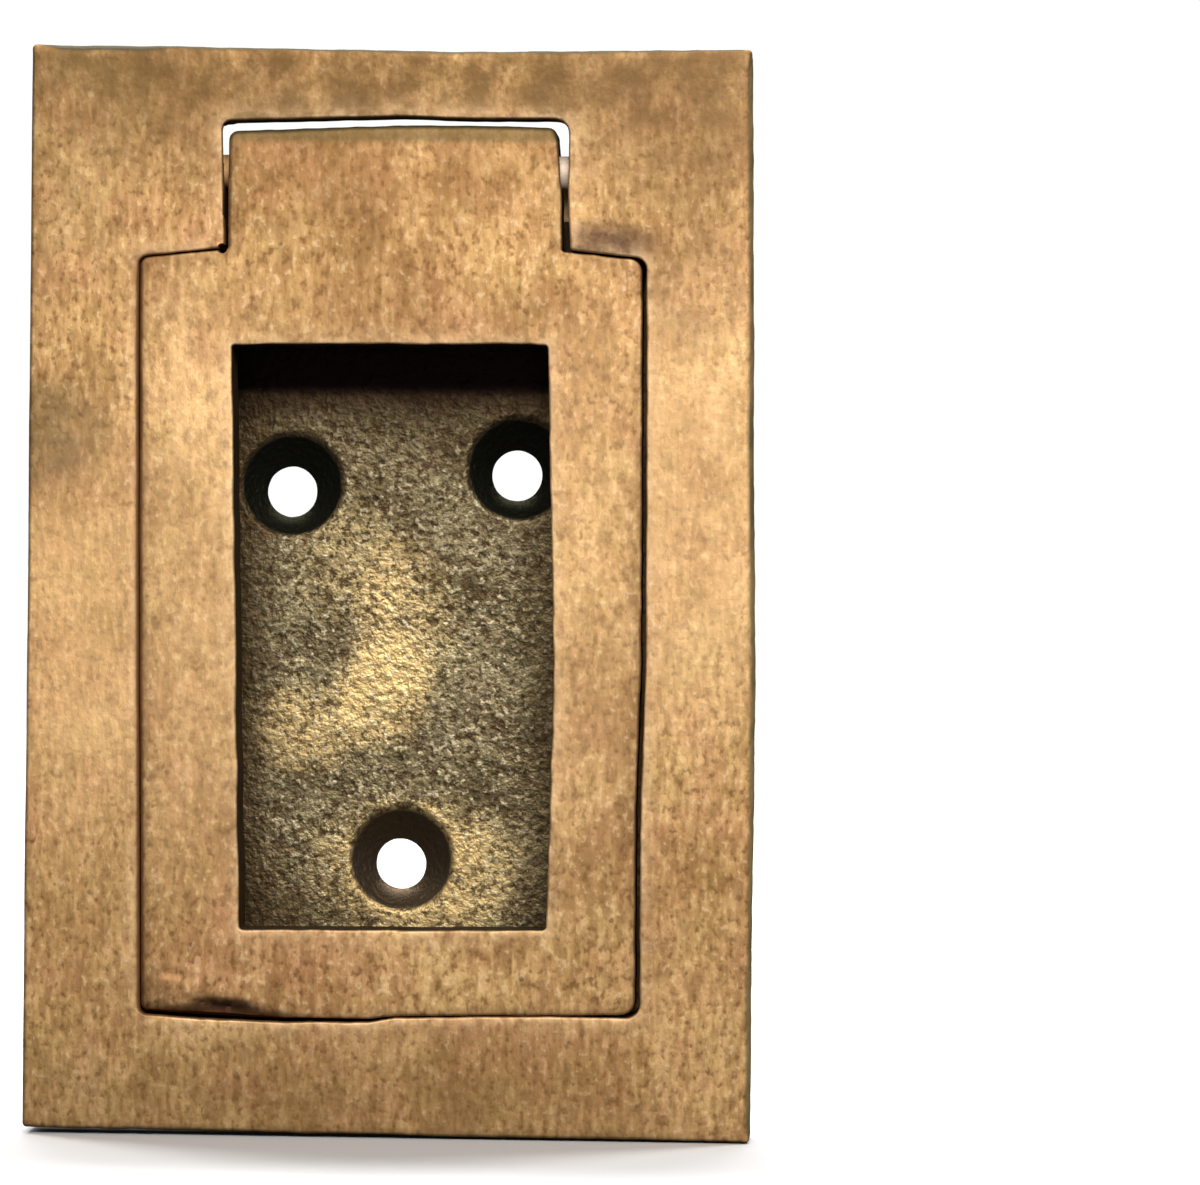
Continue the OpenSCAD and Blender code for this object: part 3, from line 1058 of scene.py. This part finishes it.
def handle_material():
    """The handle: the same brushed brass, with a dark flaw, and painted shade on the sides of its window and
    along the top of its tab.
    """
    nodes, colour, rough, heights, depth = face_material("aged_brass_handle", 40.0, HANDLE_STAINS_AND_PAINTED_LIGHT)
    colour = edge_tint(nodes, colour, "edge", 0.6, rgb(120, 90, 62), 33)
    colour = smudged_left(nodes, colour)
    colour = edge_tint(nodes, colour, "window_edge", 0.7, rgb(240, 206, 160), 35)
    sides = nodes.range(depth, 0.04, 0.3, 0.0, 0.9)
    stain = nodes.noise(1.2, detail=3, shift=61)
    skin = nodes.mix(nodes.range(stain, 0.35, 0.65), rgb(26, 19, 12), rgb(66, 50, 30))
    skin = nodes.mix(nodes.range(depth, 1.3, 0.4), skin, rgb(160, 116, 72))
    # Painted shade: the window's inner walls are coloured near black.
    skin = nodes.mix(nodes.range(nodes.mark("window_edge"), 0.3, 0.7), skin, rgb(16, 12, 10))
    # Painted shade along the top of the tab, on its skin and on its face.
    painted_tip_shade = nodes.range(nodes.axis("Z"), TAB_TOP - 1.5, TAB_TOP - 0.6)
    skin = nodes.mix(painted_tip_shade, skin, rgb(92, 84, 58))
    colour = nodes.mix(nodes.all_of(painted_tip_shade, 0.7), colour, rgb(112, 94, 58))
    colour = nodes.mix(sides, colour, skin)
    colour = stains_and_painted_light(nodes, colour, FLAW_STAINS, nodes.range(stain, 0.3, 0.6, 0.75, 1.0))
    metal = nodes.range(sides, 0, 1, 0.95, 0.85)
    return nodes.finish(colour, metal, rough, heights)


def pin_material():
    """Drawn brass rod, tarnished in rings, with a painted highlight where the tab ends on the right."""
    nodes = Nodes("tarnished_rod")
    rings = nodes.noise((0.5, 6.0, 6.0), detail=3, shift=71)
    stain = nodes.noise(1.5, detail=3, shift=73)
    colour = nodes.mix(nodes.range(rings, 0.35, 0.65), rgb(196, 158, 108), rgb(224, 188, 136))
    colour = nodes.mix(nodes.range(stain, 0.45, 0.7, 0.0, 0.4), colour, rgb(150, 112, 70))
    from_tab = nodes.math("ABSOLUTE", nodes.math("SUBTRACT", nodes.axis("X"), TAB_RIGHT + 0.1))
    # A painted highlight on the pin beside the tab's right end.
    painted_highlight = nodes.range(from_tab, 0.6, 1.0, 1.0, 0.0)
    colour = nodes.mix(painted_highlight, colour, rgb(226, 206, 186))
    rough = nodes.range(stain, 0.3, 0.7, 0.75, 0.9)
    return nodes.finish(colour, 0.6, rough, [(rings, 0.01), (stain, 0.02)])


# ---------------------------------------------------------------- the studio


# Fitted to the photo's outline: the camera's place in metres, its turn in degrees, and its lens.
CAMERA_PLACE = (0.03755, -0.405, 0.00215)
CAMERA_TURN = (89.721, -0.539, 2.731)
LENS = 137.87
SENSOR_WIDTH = 36.0
# How strong the white room is to the eye, and as a light low down and overhead.
PAPER_WHITE = 1.05
ROOM_LOW = 0.06
ROOM_HIGH = 0.4
OVERHEAD_POWER = 2.6
OVERHEAD_SPREAD = 14
OVERHEAD_TILT = -16
FLOOR_GREY = 0.46


def make_camera():
    """A camera at the photo's viewing angle."""
    data = bpy.data.cameras.new("camera")
    camera = bpy.data.objects.new("camera", data)
    bpy.context.scene.collection.objects.link(camera)
    camera.location = CAMERA_PLACE
    camera.rotation_euler = Euler(map(math.radians, CAMERA_TURN))
    data.lens = LENS
    data.sensor_width = SENSOR_WIDTH
    data.clip_start = 0.01
    bpy.context.scene.camera = camera


def light(name, kind, power):
    """A light of that kind, added to the scene."""
    made = bpy.data.objects.new(name, bpy.data.lights.new(name, kind))
    made.data.energy = power
    bpy.context.scene.collection.objects.link(made)
    return made


def softbox(name, place, wide, high, power):
    """A soft rectangular light in metres and watts, turned towards the middle of the plate."""
    made = light(name, "AREA", power)
    made.data.shape = "RECTANGLE"
    made.data.size = wide
    made.data.size_y = high
    made.location = place
    made.rotation_euler = (-Vector(place)).to_track_quat("-Z", "Y").to_euler()


def overhead_lights():
    """A bank of soft lights high up and a little behind. It drops the shadow in front of the lower edge."""
    for lean in (-24, 0, 24):
        made = light("overhead", "SUN", OVERHEAD_POWER)
        made.data.angle = math.radians(OVERHEAD_SPREAD)
        made.rotation_euler = (math.radians(OVERHEAD_TILT), math.radians(lean), 0)


def make_world():
    """A white room: paper white to the eye, and a light that comes mostly from overhead."""
    world = bpy.data.worlds.new("white_room")
    world.use_nodes = True
    tree = world.node_tree
    tree.nodes.clear()
    seen = tree.nodes.new("ShaderNodeBackground")
    seen.inputs["Color"].default_value = (1, 1, 1, 1)
    seen.inputs["Strength"].default_value = PAPER_WHITE
    lit = tree.nodes.new("ShaderNodeBackground")
    lit.inputs["Color"].default_value = (1, 1, 1, 1)
    direction = tree.nodes.new("ShaderNodeTexCoord")
    split = tree.nodes.new("ShaderNodeSeparateXYZ")
    height = tree.nodes.new("ShaderNodeMapRange")
    height.interpolation_type = "SMOOTHSTEP"
    height.inputs["From Min"].default_value = 0.1
    height.inputs["From Max"].default_value = 0.85
    height.inputs["To Min"].default_value = ROOM_LOW
    height.inputs["To Max"].default_value = ROOM_HIGH
    path = tree.nodes.new("ShaderNodeLightPath")
    mix = tree.nodes.new("ShaderNodeMixShader")
    output = tree.nodes.new("ShaderNodeOutputWorld")
    tree.links.new(direction.outputs["Generated"], split.inputs[0])
    tree.links.new(split.outputs["Z"], height.inputs["Value"])
    tree.links.new(height.outputs["Result"], lit.inputs["Strength"])
    tree.links.new(path.outputs["Is Camera Ray"], mix.inputs["Fac"])
    tree.links.new(lit.outputs[0], mix.inputs[1])
    tree.links.new(seen.outputs[0], mix.inputs[2])
    tree.links.new(mix.outputs[0], output.inputs["Surface"])
    bpy.context.scene.world = world


def make_floor():
    """A plain pale floor under the plate's lower edge."""
    half = 1000.0
    z = PLATE_LOW[2] - 0.1
    corners = np.array([(-half, -half, z), (half, -half, z), (half, half, z), (-half, half, z)])
    floor = mesh_object("floor", corners, [(0, 1, 2, 3)])
    material = bpy.data.materials.new("pale_floor")
    material.use_nodes = True
    shader = material.node_tree.nodes["Principled BSDF"]
    shader.inputs["Base Color"].default_value = (FLOOR_GREY, FLOOR_GREY, FLOOR_GREY, 1)
    shader.inputs["Roughness"].default_value = 0.9
    shader.inputs["Specular IOR Level"].default_value = 0.1
    floor.data.materials.append(material)
    # The piece is photographed well above anything that would light it from below.
    floor.visible_diffuse = False
    floor.visible_glossy = False


def make_studio():
    """The room, the floor and the lights."""
    make_world()
    make_floor()
    softbox("key", (0.06, -0.42, 0.24), wide=0.36, high=0.22, power=3.0)
    softbox("back", (-0.30, 0.50, 0.25), wide=0.40, high=0.30, power=2.0)
    softbox("front", (0.04, -0.62, 0.0), wide=0.30, high=0.20, power=0.12)
    overhead_lights()
    bpy.context.scene.view_settings.view_transform = "Standard"


def main():
    """Sets up the studio, and puts each piece on its body in place of its CAD node."""
    make_studio()
    make_camera()
    pieces = [
        (make_plate(plate_material()), "plate", "plate", "plate"),
        (make_handle(handle_material()), "bail_handle", "bail_handle", "bail_handle"),
        (make_pin(pin_material()), "plate", "hinge_pin", "hinge_pin"),
    ]
    for piece, body, node, slot in pieces:
        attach(piece, body)
        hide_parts(node)


main()
